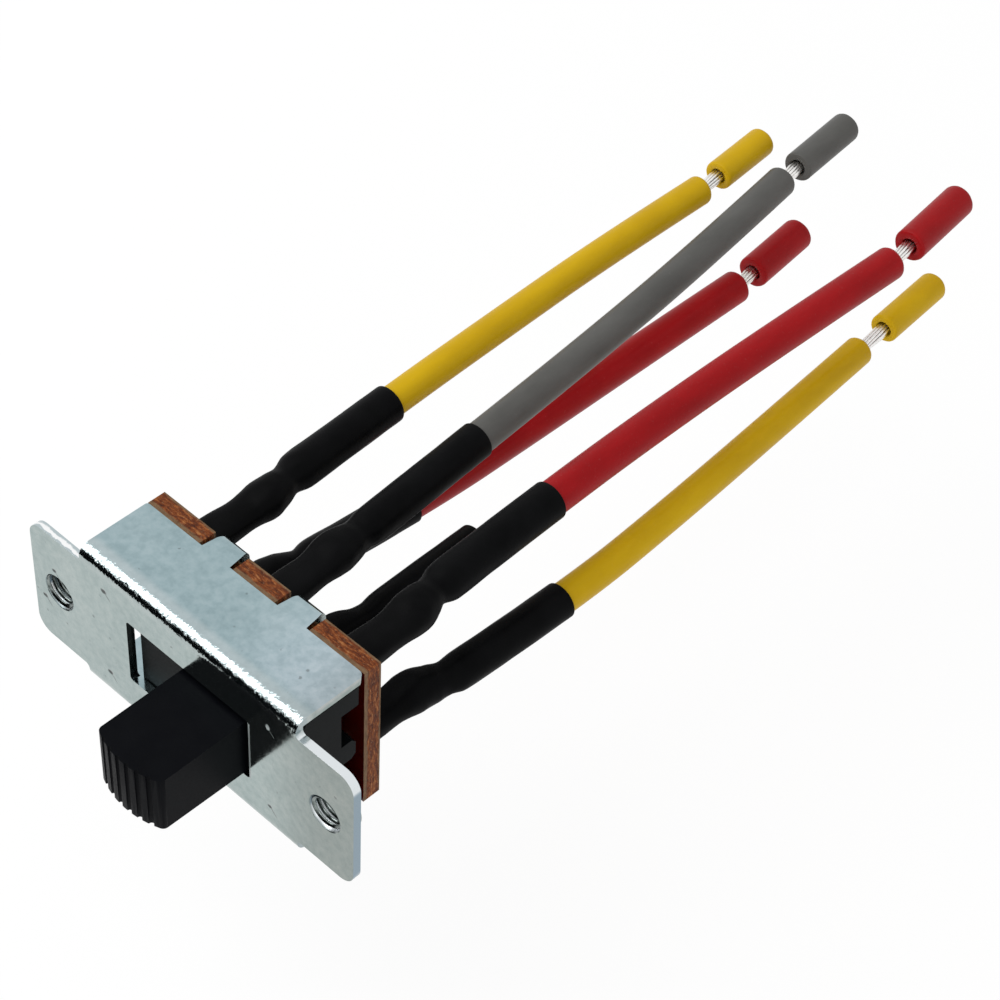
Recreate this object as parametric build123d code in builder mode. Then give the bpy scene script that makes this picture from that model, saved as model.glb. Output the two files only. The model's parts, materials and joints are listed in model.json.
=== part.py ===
"""Ceiling fan reverse switch: a two-circuit slide switch with six soldered lead positions.

Frame: X along the mounting plate, Y from the plate's front face back to the terminals, Z up.
Origin: midway between the two tapped ear holes, on the front face of the plate.
All lengths in millimetres.
"""

from build123d import *
from math import radians, tan
import os

os.makedirs("parts", exist_ok=True)

# ---------------------------------------------------------------- driving dimensions
# Steel bracket
hole_spacing = 28.6         # between the two tapped ear holes
plate_length = 34.4
ear_height = 11.5
sheet = 0.7
body_length = 22.9
body_height = 14.2
body_depth = 6.55           # front face to the board
bend_inside = 0.3           # inside radius of every bend
ear_corner_small = 0.8
ear_corner_large = 3.0
ear_step_fillet = 0.35
ear_flare = 1.2             # sweep of the lower left ear into the channel
flange_corner = 1.0
slot_length = 13.0
slot_height = 6.3
slot_corner = 0.3
tap_drill = 2.5             # M3 x 0.5
thread_major = 3.0
collar_wall = 0.55
collar_height = 0.9
collar_entry = 0.24

# Laminate board
board_thickness = 1.6
board_setback = 0.05        # board edge inside the ends of the channel
tab_spacing = 8.0
tab_width = 3.0
tab_reach = 1.5             # length of each tab lying on the back of the board
tab_corner = 0.8
notch_clearance = 0.3

# Terminals
terminal_pitch = 7.9
lug_row = 4.2               # lug height above and below the middle of the board
lug_thickness = 0.4
lug_width = 2.2
lug_tip_width = 1.8
lug_length = 6.5            # behind the board
lug_tip_chamfer = 0.5
lug_eye_length = 0.9
lug_eye_width = 0.7
lug_eye_setback = 0.7       # eye to the end of the lug
contact_row = 2.7
contact_width = 2.6
contact_thickness = 0.45
contact_dome = 0.3
contact_dome_diameter = 2.2
contact_dome_taper = 35     # degrees, on the side of the dome
lug_slot_clearance = 0.05

# Slider
travel = 5.5
lever_width = 6.7
lever_height = 5.4
lever_tip_height = 5.2
lever_projection = 8.35
lever_crown = 0.75
lever_corner = 0.5
rib_count = 7
groove_depth = 0.36
groove_width = 0.42
slide_clearance = 0.1       # carriage to the inside of the channel
carriage_wall = 3.5
arm_clearance = 0.6         # carriage arms to the board
rail_clearance = 0.85       # middle rail to the board
rail_chamfer = 0.4
contact_channel = 3.4
shoulder_width = 1.0
shoulder_clearance = 0.15   # shoulders to the top of the contact domes

# Bridging contacts and their leaf springs
bridge_length = 11.0
bridge_thickness = 0.4
bridge_toe = 0.6
bridge_lift = 0.3
bridge_side_clearance = 0.3
bridge_end_clearance = 0.1
contact_gap = 0.05
leaf_thickness = 0.2
leaf_length = 6.4
leaf_width = 2.4
leaf_seat = 0.02            # gap left at each place where the leaf bears

# Sleeves, solder and wires
sleeve_wall = 0.15
sleeve_width = 3.2          # where it is flat on the lug
sleeve_height = 2.22
sleeve_crest = 6.8          # middle of its swelling over the solder, behind the board
empty_sleeve_bore = 2.9
wire_start = 10.15          # insulation starts this far behind the board
solder_start = 4.6          # solder joint, measured behind the board
solder_end = 8.2
solder_width = 2.2          # at its start
solder_height = 1.3
solder_swell = 0.3          # growth in width and height towards the wire
solder_lean = 0.8           # share of its sleeve's shift that the solder follows
core_diameter = 1.2         # across the corners of the packed strands
slug_bore_clearance = 0.04
strand_inset = 0.5          # strands end this far inside the loose slug

# ---------------------------------------------------------------- derived positions
board_back = body_depth + board_thickness
bend_outside = bend_inside + sheet
inner_half = body_height / 2 - sheet
tab_face = inner_half - bend_inside
carriage_front = sheet + slide_clearance
carriage_half = inner_half - slide_clearance
carriage_length = body_length - travel
carriage_back = carriage_front + carriage_wall
rest_x = travel / 2
contact_face = body_depth - contact_thickness
dome_top = contact_face - contact_dome
bridge_back = dome_top - contact_gap
bridge_front = bridge_back - bridge_thickness

columns = {"left": -terminal_pitch, "middle": 0.0, "right": terminal_pitch}
rows = {"upper": lug_row, "lower": -lug_row}


def save(part, name):
    """Label one finished piece and write it."""
    part.label = name
    export_step(part, f"parts/{name}.step")


# ---------------------------------------------------------------- mounting bracket
# Two of the four tabs: each runs on from its flange, through the board, and folds over the
# back of it.
with BuildPart() as tab_pair:
    for x in (-tab_spacing / 2, tab_spacing / 2):
        with BuildSketch(Plane.YZ.offset(x)) as tab_profile:
            with BuildLine():
                Polyline(
                    (body_depth - sheet, body_height / 2),
                    (board_back + sheet, body_height / 2),
                    (board_back + sheet, tab_face - tab_reach),
                    (board_back, tab_face - tab_reach),
                    (board_back, inner_half),
                    (body_depth - sheet, inner_half),
                    close=True,
                )
            make_face()
            outer_fold = (board_back + sheet, body_height / 2)
            fillet(tab_profile.vertices().sort_by_distance(outer_fold)[0], bend_outside)
            inner_fold = (board_back, inner_half)
            fillet(tab_profile.vertices().sort_by_distance(inner_fold)[0], bend_inside)
        extrude(amount=tab_width / 2, both=True)
    fillet(tab_pair.edges().filter_by(Axis.Y).group_by(Axis.Z)[0], tab_corner)

# One steel stamping: a channel open at the back and both ends, with two flat ears.
with BuildPart() as mounting_bracket:
    with BuildSketch(Plane.YZ) as channel_section:
        with Locations((body_depth / 2, 0)):
            Rectangle(body_depth, body_height)
        fillet(channel_section.vertices().group_by(Axis.X)[0], bend_outside)
        with Locations(((sheet + body_depth) / 2, 0)):
            Rectangle(body_depth - sheet, 2 * inner_half, mode=Mode.SUBTRACT)
        inner_corners = channel_section.vertices().filter_by_position(Axis.X, sheet, sheet)
        fillet(inner_corners.filter_by_position(Axis.Y, -inner_half, inner_half), bend_inside)
    extrude(amount=plate_length / 2, both=True)

    # Front outline: diagonally opposite ear corners are alike. The flare stays inside the
    # step and the straight edge that it joins.
    step_height = (body_height - ear_height) / 2
    ear_edge = (plate_length - body_length) / 2 - ear_corner_large
    flare = min(ear_flare, 0.9 * step_height, 0.9 * ear_edge)
    with BuildSketch(Plane.XZ) as front_outline:
        Rectangle(plate_length, ear_height)
        left_low, left_high = front_outline.vertices().group_by(Axis.X)[0].sort_by(Axis.Y)
        right_low, right_high = front_outline.vertices().group_by(Axis.X)[-1].sort_by(Axis.Y)
        fillet([left_low, right_high], ear_corner_large)
        left_high = front_outline.vertices().sort_by_distance((-plate_length / 2, ear_height / 2))
        right_low = front_outline.vertices().sort_by_distance((plate_length / 2, -ear_height / 2))
        fillet([left_high[0], right_low[0]], ear_corner_small)
        Rectangle(body_length, body_height)
        for side_x in (-1, 1):
            for side_z in (-1, 1):
                step = (side_x * body_length / 2, side_z * ear_height / 2)
                radius = flare if (side_x, side_z) == (-1, -1) else ear_step_fillet
                fillet(front_outline.vertices().sort_by_distance(step)[0], radius)
    extrude(amount=-body_depth, mode=Mode.INTERSECT)

    # The flanges stop at the ends of the channel and have rounded back corners
    with BuildSketch(Plane.XZ.offset(-bend_outside)):
        with GridLocations(plate_length, 1, 2, 1):
            Rectangle(plate_length - body_length, body_height)
    extrude(amount=-body_depth, mode=Mode.SUBTRACT)
    fillet(mounting_bracket.edges().filter_by(Axis.Z).group_by(Axis.Y)[-1], flange_corner)

    add(tab_pair.part)
    mirror(tab_pair.part, about=Plane.XY)

    # Slot for the lever
    with BuildSketch(Plane.XZ):
        RectangleRounded(slot_length, slot_height, slot_corner)
    extrude(amount=-sheet, mode=Mode.SUBTRACT)

    # Extruded collars behind the ears, chamfered at the entry and drilled for the thread
    with BuildSketch(Plane.XZ.offset(-sheet)):
        with GridLocations(hole_spacing, 1, 2, 1):
            Circle(thread_major / 2 + collar_wall)
    extrude(amount=-collar_height)
    with BuildSketch(Plane.XZ):
        with GridLocations(hole_spacing, 1, 2, 1):
            Circle(tap_drill / 2)
    extrude(amount=-(sheet + collar_height), mode=Mode.SUBTRACT)
    hole_rims = mounting_bracket.edges().filter_by(GeomType.CIRCLE).group_by(Axis.Y)[0]
    chamfer([rim for rim in hole_rims if abs(rim.radius - tap_drill / 2) < 1e-6], collar_entry)
save(mounting_bracket.part, "mounting_bracket")

# ---------------------------------------------------------------- terminal board
# Laminate board that closes the back of the channel, notched for the four tabs and slotted
# for the six terminals.
with BuildPart() as terminal_board:
    with BuildSketch(Plane.XZ.offset(-body_depth)) as board_outline:
        Rectangle(body_length - 2 * board_setback, body_height)
        notch_depth = body_height / 2 - tab_face
        with GridLocations(tab_spacing, body_height - notch_depth, 2, 2):
            Rectangle(tab_width + 2 * notch_clearance, notch_depth, mode=Mode.SUBTRACT)
        with GridLocations(terminal_pitch, 2 * lug_row, 3, 2):
            Rectangle(
                lug_width + 2 * lug_slot_clearance,
                lug_thickness + 2 * lug_slot_clearance,
                mode=Mode.SUBTRACT,
            )
    extrude(amount=-board_thickness)
save(terminal_board.part, "terminal_board")

# ---------------------------------------------------------------- terminals
# Each terminal is one stamping: a contact pad with a raised dome on the front of the board,
# and a lug that runs through the board to a pierced soldering tip.
with BuildPart() as terminal:
    pad_top = lug_row + lug_thickness / 2
    pad_bottom = contact_row - contact_width / 2
    with BuildSketch(Plane.YZ) as terminal_profile:
        with BuildLine():
            Polyline(
                (contact_face, pad_bottom),
                (contact_face, pad_top),
                (board_back + lug_length, pad_top),
                (board_back + lug_length, pad_top - lug_thickness),
                (body_depth, pad_top - lug_thickness),
                (body_depth, pad_bottom),
                close=True,
            )
        make_face()
        heel = terminal_profile.vertices().sort_by_distance((contact_face, pad_top))
        fillet(heel[0], contact_thickness * 0.9)
    extrude(amount=contact_width / 2, both=True)

    # The lug narrows behind the pad and tapers to a tip with chamfered corners
    with BuildSketch(Plane.XY.offset(lug_row)) as lug_plan:
        with BuildLine():
            Polyline(
                (-contact_width / 2, contact_face),
                (contact_width / 2, contact_face),
                (contact_width / 2, body_depth),
                (lug_width / 2, body_depth),
                (lug_width / 2, board_back),
                (lug_tip_width / 2, board_back + lug_length),
                (-lug_tip_width / 2, board_back + lug_length),
                (-lug_width / 2, board_back),
                (-lug_width / 2, body_depth),
                (-contact_width / 2, body_depth),
                close=True,
            )
        make_face()
        chamfer(lug_plan.vertices().group_by(Axis.Y)[-1], lug_tip_chamfer)
        with Locations((0, board_back + lug_length - lug_eye_setback - lug_eye_length / 2)):
            Rectangle(lug_eye_width, lug_eye_length, mode=Mode.SUBTRACT)
    extrude(amount=lug_row, both=True, mode=Mode.INTERSECT)

    with BuildSketch(Plane.XZ.offset(-contact_face)):
        with Locations((0, contact_row)):
            Circle(contact_dome_diameter / 2)
    extrude(amount=contact_dome, taper=contact_dome_taper)

terminals = {}
for row, z in rows.items():
    facing = terminal.part if z > 0 else mirror(terminal.part, about=Plane.XY)
    for column, x in columns.items():
        terminals[row, column] = Pos(x, 0, 0) * facing
        save(terminals[row, column], f"terminal_{row}_{column}")

# ---------------------------------------------------------------- slide lever
# The finger lever: a block whose sides taper to the tip and whose end face is a shallow
# crown with upright finger ribs.
half_width = lever_width / 2
crown_start = lever_crown - lever_projection
crown_radius = (half_width**2 + lever_crown**2) / (2 * lever_crown)
groove_pitch = lever_width / rib_count
with BuildPart() as lever:
    with BuildSketch(Plane.XY) as lever_plan:
        with BuildLine():
            ThreePointArc(
                (half_width, crown_start),
                (0, -lever_projection),
                (-half_width, crown_start),
            )
            Polyline(
                (-half_width, crown_start),
                (-half_width, carriage_back),
                (half_width, carriage_back),
                (half_width, crown_start),
            )
        make_face()
        fillet(lever_plan.vertices().group_by(Axis.Y)[:2], lever_corner)
        for index in range(1, rib_count):
            groove_x = index * groove_pitch - half_width
            crown_drop = crown_radius - (crown_radius**2 - groove_x**2) ** 0.5
            with Locations((groove_x, crown_drop - lever_projection)):
                Ellipse(groove_width / 2, groove_depth, mode=Mode.SUBTRACT)
    extrude(amount=lever_height / 2, both=True)
    with BuildSketch(Plane.YZ) as lever_side:
        with BuildLine():
            Polyline(
                (carriage_back, -lever_height / 2),
                (carriage_back, lever_height / 2),
                (0, lever_height / 2),
                (-lever_projection, lever_tip_height / 2),
                (-lever_projection, -lever_tip_height / 2),
                (0, -lever_height / 2),
                close=True,
            )
        make_face()
    extrude(amount=lever_width, both=True, mode=Mode.INTERSECT)

# The moulding: a carriage of E section that fills the channel behind the plate, with
# shoulders that drive the bridging contacts, and the lever that stands out of the slot.
arm_back = body_depth - arm_clearance
rail_back = body_depth - rail_clearance
rail_half = contact_row - contact_channel / 2
shoulder_x = bridge_length / 2 + bridge_end_clearance + shoulder_width / 2
with BuildPart() as slide_lever:
    with BuildSketch(Plane.YZ.offset(rest_x)) as carriage_section:
        with BuildLine():
            Polyline(
                (carriage_front, 0),
                (carriage_front, carriage_half),
                (arm_back, carriage_half),
                (arm_back, contact_row + contact_channel / 2),
                (carriage_back, contact_row + contact_channel / 2),
                (carriage_back, rail_half),
                (rail_back, rail_half),
                (rail_back, 0),
                close=True,
            )
        make_face()
        mirror(about=Plane.XZ)
        rail_edges = carriage_section.vertices().filter_by_position(Axis.X, rail_back, rail_back)
        chamfer(rail_edges, rail_chamfer)
        front_corners = carriage_section.vertices().group_by(Axis.X)[0]
        fillet(front_corners, bend_inside + slide_clearance)
    extrude(amount=carriage_length / 2, both=True)
    with BuildSketch(Plane.XZ.offset(-carriage_back)):
        with Locations((rest_x, 0)):
            with GridLocations(2 * shoulder_x, 2 * contact_row, 2, 2):
                Rectangle(shoulder_width, contact_channel)
    extrude(amount=-(dome_top - shoulder_clearance - carriage_back))
    with Locations((rest_x, 0, 0)):
        add(lever.part)
save(slide_lever.part, "slide_lever")

# ---------------------------------------------------------------- bridging contacts
# A flat strip with turned-up toes joins the middle contact to one outer contact in each row.
with BuildPart() as bridge_contact:
    with BuildSketch(Plane.XY.offset(contact_row)):
        with BuildLine():
            strip_y = bridge_back - bridge_thickness / 2
            Polyline(
                (rest_x - bridge_length / 2, strip_y - bridge_lift),
                (rest_x - bridge_length / 2 + bridge_toe, strip_y),
                (rest_x + bridge_length / 2 - bridge_toe, strip_y),
                (rest_x + bridge_length / 2, strip_y - bridge_lift),
            )
        trace(line_width=bridge_thickness)
    extrude(amount=contact_channel / 2 - bridge_side_clearance, both=True)
save(bridge_contact.part, "bridge_contact_upper")
save(mirror(bridge_contact.part, about=Plane.XY), "bridge_contact_lower")

# A bowed leaf between the carriage and each strip keeps the strip on the contacts
with BuildPart() as contact_spring:
    with BuildSketch(Plane.XY.offset(contact_row)):
        with BuildLine():
            leaf_ends = bridge_front - leaf_seat - leaf_thickness / 2
            ThreePointArc(
                (rest_x - leaf_length / 2, leaf_ends),
                (rest_x, carriage_back + leaf_seat + leaf_thickness / 2),
                (rest_x + leaf_length / 2, leaf_ends),
            )
        trace(line_width=leaf_thickness)
    extrude(amount=leaf_width / 2, both=True)
save(contact_spring.part, "contact_spring_upper")
save(mirror(contact_spring.part, about=Plane.XY), "contact_spring_lower")


# ---------------------------------------------------------------- wires and sleeves
# The lower middle terminal carries a sleeve and no wire
EMPTY_SLEEVE_AXIS = [(0.75, 10.15), (0.62, 20.8)]

# Every lead is given by its terminal, colour and diameter, and by its route in X and Y
# measured from the middle of its terminal on the back of the board. The end of the strip
# slug and the gap of bare strands before it close each list.
LEADS = {
    ("upper", "left"): {
        "colour": "yellow",
        "diameter": 2.6,
        "route": [(-0.54, 10.15), (-1.79, 34.15), (-1.86, 58.15)],
        "slug_end": (-2.54, 66.93),
        "strand_gap": 2.2,
    },
    ("upper", "middle"): {
        "colour": "gray",
        "diameter": 2.7,
        "route": [(-0.57, 10.15), (-2.43, 37.15), (-5.75, 64.15)],
        "slug_end": (-6.75, 73.94),
        "strand_gap": 2.1,
    },
    ("upper", "right"): {
        "colour": "red",
        "diameter": 2.9,
        "route": [(-0.70, 10.15), (-1.49, 36.40), (-0.54, 62.65)],
        "slug_end": (-1.73, 73.24),
        "strand_gap": 2.5,
    },
    ("lower", "left"): {
        "colour": "red",
        "diameter": 2.9,
        "route": [(1.07, 10.15), (2.48, 27.00), (2.70, 58.95)],
        "slug_end": (1.79, 68.18),
        "strand_gap": 2.1,
    },
    ("lower", "right"): {
        "colour": "yellow",
        "diameter": 2.6,
        "route": [(1.10, 10.15), (1.76, 27.00), (-0.65, 60.35)],
        "slug_end": (-1.46, 71.48),
        "strand_gap": 3.3,
    },
}


def corner_radii(points):
    """Radius at each inner point: 0.45 of the shorter run over the tangent of half the turn."""
    radii = []
    for before, corner, after in zip(points, points[1:], points[2:]):
        run_in = corner - before
        run_out = after - corner
        half_turn = radians(run_in.get_angle(run_out)) / 2
        radii.append(0.45 * min(run_in.length, run_out.length) / tan(half_turn))
    return radii


def section(plane, half_width, half_height):
    """One station of a lofted form: an ellipse across the lead."""
    with BuildSketch(plane) as station:
        Ellipse(half_width, half_height)
    return station.sketch.face()


def make_wire(route, diameter):
    """Insulated wire swept along straight runs joined by tangent arcs."""
    with BuildPart() as wire:
        with BuildSketch(Plane(route @ 0, x_dir=(0, 0, 1), z_dir=route % 0)):
            Circle(diameter / 2)
        sweep(path=route)
    return wire.part


def lug_plane(x, z, behind, offset):
    """Plane across a lug, facing away from the board."""
    return Plane((x + offset, board_back + behind, z), x_dir=(1, 0, 0), z_dir=(0, 1, 0))


def make_solder(x, z, shift, route):
    """Solder around the lug's tip and the tinned core that runs from it into the wire."""
    width = solder_width / 2
    height = solder_height / 2
    growth = solder_swell / 2
    with BuildPart() as solder:
        loft([
            section(lug_plane(x, z, solder_start, 0), width, height),
            section(lug_plane(x, z, solder_end, shift), width + growth, height + growth),
        ], ruled=True)
        with BuildSketch(Plane(route @ 0, x_dir=(0, 0, 1), z_dir=-(route % 0))):
            RegularPolygon(core_diameter / 2, 6)
        extrude(amount=wire_start - solder_end + core_diameter / 4)
    return solder.part


def make_sleeve(x, z, shift, route, radius, grip):
    """Shrunk sleeve: flat on the lug, swelling over the solder, round and straight on the wire."""
    across = []
    for behind, sideways, roundness in ((0, 0, 0), (sleeve_crest, shift, 0.5)):
        half_width = sleeve_width / 2 * (1 - roundness) + radius * roundness
        half_height = sleeve_height / 2 * (1 - roundness) + radius * roundness
        across.append((lug_plane(x, z, behind, sideways), half_width, half_height))
    heading = route % 0
    for along in (0, grip):
        mouth = Plane(route @ 0 + heading * along, x_dir=heading.cross(Vector(0, 0, 1)), z_dir=heading)
        across.append((mouth, radius, radius))
    with BuildPart() as sleeve:
        for inset, mode in ((0, Mode.ADD), (sleeve_wall, Mode.SUBTRACT)):
            loft(
                [section(plane, a - inset, b - inset) for plane, a, b in across],
                ruled=True,
                mode=mode,
            )
    return sleeve.part


def make_strands(route, slug_end):
    """Bundle of bare strands, six-sided as the strands pack, that runs into the loose slug."""
    end = route @ 1
    reach = slug_end - end
    with BuildPart() as strands:
        with BuildSketch(Plane(end, x_dir=(0, 0, 1), z_dir=route % 1)):
            RegularPolygon(core_diameter / 2, 6)
        extrude(amount=reach.length - strand_inset, dir=reach.normalized())
    return strands.part


def make_slug(route, slug_end, gap, diameter):
    """Short length of insulation slid out along the strands by the stripping tool."""
    end = route @ 1
    reach = slug_end - end
    start = end + reach.normalized() * gap
    with BuildPart() as slug:
        with BuildSketch(Plane(start, x_dir=(0, 0, 1), z_dir=route % 1)):
            Circle(diameter / 2)
            RegularPolygon(core_diameter / 2 + slug_bore_clearance, 6, mode=Mode.SUBTRACT)
        extrude(amount=reach.length - gap, dir=reach.normalized())
    return slug.part


# Each sleeve as it shrank: its shift along X at the crest, the slack around its wire, and the
# length of its grip on the wire.
SLEEVES = {
    ("upper", "left"): (-0.07, 0.15, 10.4),
    ("upper", "middle"): (-0.4, 0.04, 12.5),
    ("upper", "right"): (-0.18, 0.04, 11.9),
    ("lower", "left"): (0.1, 0.04, 9.8),
    ("lower", "middle"): (0.1, 0, 10.6),
    ("lower", "right"): (0.15, 0.08, 11.0),
}

for (row, column), (shift, slack, grip) in SLEEVES.items():
    x = columns[column]
    z = rows[row]
    lead = LEADS.get((row, column))
    diameter = lead["diameter"] if lead else empty_sleeve_bore
    radius = diameter / 2 + slack + sleeve_wall
    points = lead["route"] if lead else EMPTY_SLEEVE_AXIS
    points = [Vector(x + dx, board_back + dy, z) for dx, dy in points]
    if lead is None:
        save(make_sleeve(x, z, shift, Wire([Line(*points)]), radius, grip), f"sleeve_{row}_{column}")
        continue

    radii = corner_radii(points)
    route = Wire(FilletPolyline(*points, radius=radii).edges())
    name = f"{lead['colour']}_{row}"
    slug_end = Vector(x + lead["slug_end"][0], board_back + lead["slug_end"][1], z)
    print(name, "length", round(route.length, 2), "radii", [round(r, 1) for r in radii])

    along_swell = (solder_end - sleeve_crest) / (wire_start - sleeve_crest)
    sleeve_shift = shift + (lead["route"][0][0] - shift) * along_swell
    solder = make_solder(x, z, solder_lean * sleeve_shift, route) - terminals[row, column]
    save(solder, f"solder_{row}_{column}")
    save(make_sleeve(x, z, shift, route, radius, grip), f"sleeve_{row}_{column}")
    save(make_wire(route, diameter), f"wire_{name}")
    save(make_strands(route, slug_end), f"strands_{name}")
    save(make_slug(route, slug_end, lead["strand_gap"], diameter), f"slug_{name}")
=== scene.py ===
import bpy
import bmesh
import json
import math
from collections import namedtuple
from mathutils import Matrix, Vector, noise


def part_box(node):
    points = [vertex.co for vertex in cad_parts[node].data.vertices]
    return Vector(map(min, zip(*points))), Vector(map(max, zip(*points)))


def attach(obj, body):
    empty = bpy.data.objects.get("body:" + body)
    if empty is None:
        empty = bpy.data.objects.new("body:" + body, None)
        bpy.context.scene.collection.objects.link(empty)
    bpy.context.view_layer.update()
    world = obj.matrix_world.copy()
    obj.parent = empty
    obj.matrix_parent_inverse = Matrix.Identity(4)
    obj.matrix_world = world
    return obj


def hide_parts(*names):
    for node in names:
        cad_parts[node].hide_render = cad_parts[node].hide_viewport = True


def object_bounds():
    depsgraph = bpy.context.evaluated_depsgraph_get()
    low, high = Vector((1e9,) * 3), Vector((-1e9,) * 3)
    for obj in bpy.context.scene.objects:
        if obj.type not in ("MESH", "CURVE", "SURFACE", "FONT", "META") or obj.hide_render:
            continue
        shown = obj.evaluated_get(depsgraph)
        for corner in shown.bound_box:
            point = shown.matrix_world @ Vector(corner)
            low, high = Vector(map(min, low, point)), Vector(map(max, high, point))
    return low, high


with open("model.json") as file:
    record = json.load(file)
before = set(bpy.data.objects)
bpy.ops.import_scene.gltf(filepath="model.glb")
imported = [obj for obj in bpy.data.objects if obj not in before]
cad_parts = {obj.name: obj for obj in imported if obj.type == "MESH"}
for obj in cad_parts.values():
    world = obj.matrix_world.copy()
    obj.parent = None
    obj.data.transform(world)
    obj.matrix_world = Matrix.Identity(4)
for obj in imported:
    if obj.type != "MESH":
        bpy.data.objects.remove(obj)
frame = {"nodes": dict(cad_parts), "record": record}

low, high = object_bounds()
MM = 0.001

# ------------------------------------------------------------------ camera
# Its place and direction were fitted to the photograph
forward = Vector((-0.46629, 0.52058, -0.71524)).normalized()
level_right = forward.cross(Vector((0, 0, 1))).normalized()
level_up = level_right.cross(forward)
roll = math.radians(3.38)
right = math.cos(roll) * level_right + math.sin(roll) * level_up
up = right.cross(forward)
camera_data = bpy.data.cameras.new("camera")
camera_data.lens = 100.0
camera_data.sensor_width = 36.0
camera_data.clip_start = 0.01
camera = bpy.data.objects.new("camera", camera_data)
camera.matrix_world = Matrix((
    (right.x, up.x, -forward.x, 101.325 * MM),
    (right.y, up.y, -forward.y, -80.908 * MM),
    (right.z, up.z, -forward.z, 153.175 * MM),
    (0, 0, 0, 1),
))
bpy.context.collection.objects.link(camera)
bpy.context.scene.camera = camera

# ------------------------------------------------------------------ places from the frame
plate_low, plate_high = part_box("mounting_bracket")
board_low, board_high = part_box("terminal_board")
lever_low, lever_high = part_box("slide_lever")
board_back = board_high[1]
plate_top = plate_high[2]
plate_half = (plate_high[0] - plate_low[0]) / 2
hole_reach = plate_half - 2.9 * MM      # from the middle of the plate to each ear hole
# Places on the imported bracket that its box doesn't give
slot_end = 6.56 * MM
slot_half_height = 3.15 * MM
flange_end = board_high[0] + 0.05 * MM
flange_back = 6.55 * MM
ear_half_height = 5.75 * MM


def terminal_place(row, column):
    """X and Z of the middle of a terminal's lug."""
    a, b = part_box(f"terminal_{row}_{column}")
    z = b[2] - 0.2 * MM if row == "upper" else a[2] + 0.2 * MM
    return (a[0] + b[0]) / 2, z


# ------------------------------------------------------------------ node helpers
def new_material(name):
    """A material with nothing in it but its output node."""
    mat = bpy.data.materials.new(name)
    mat.use_nodes = True
    tree = mat.node_tree
    tree.nodes.clear()
    out = tree.nodes.new("ShaderNodeOutputMaterial")
    return mat, Net(tree), out


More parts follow.
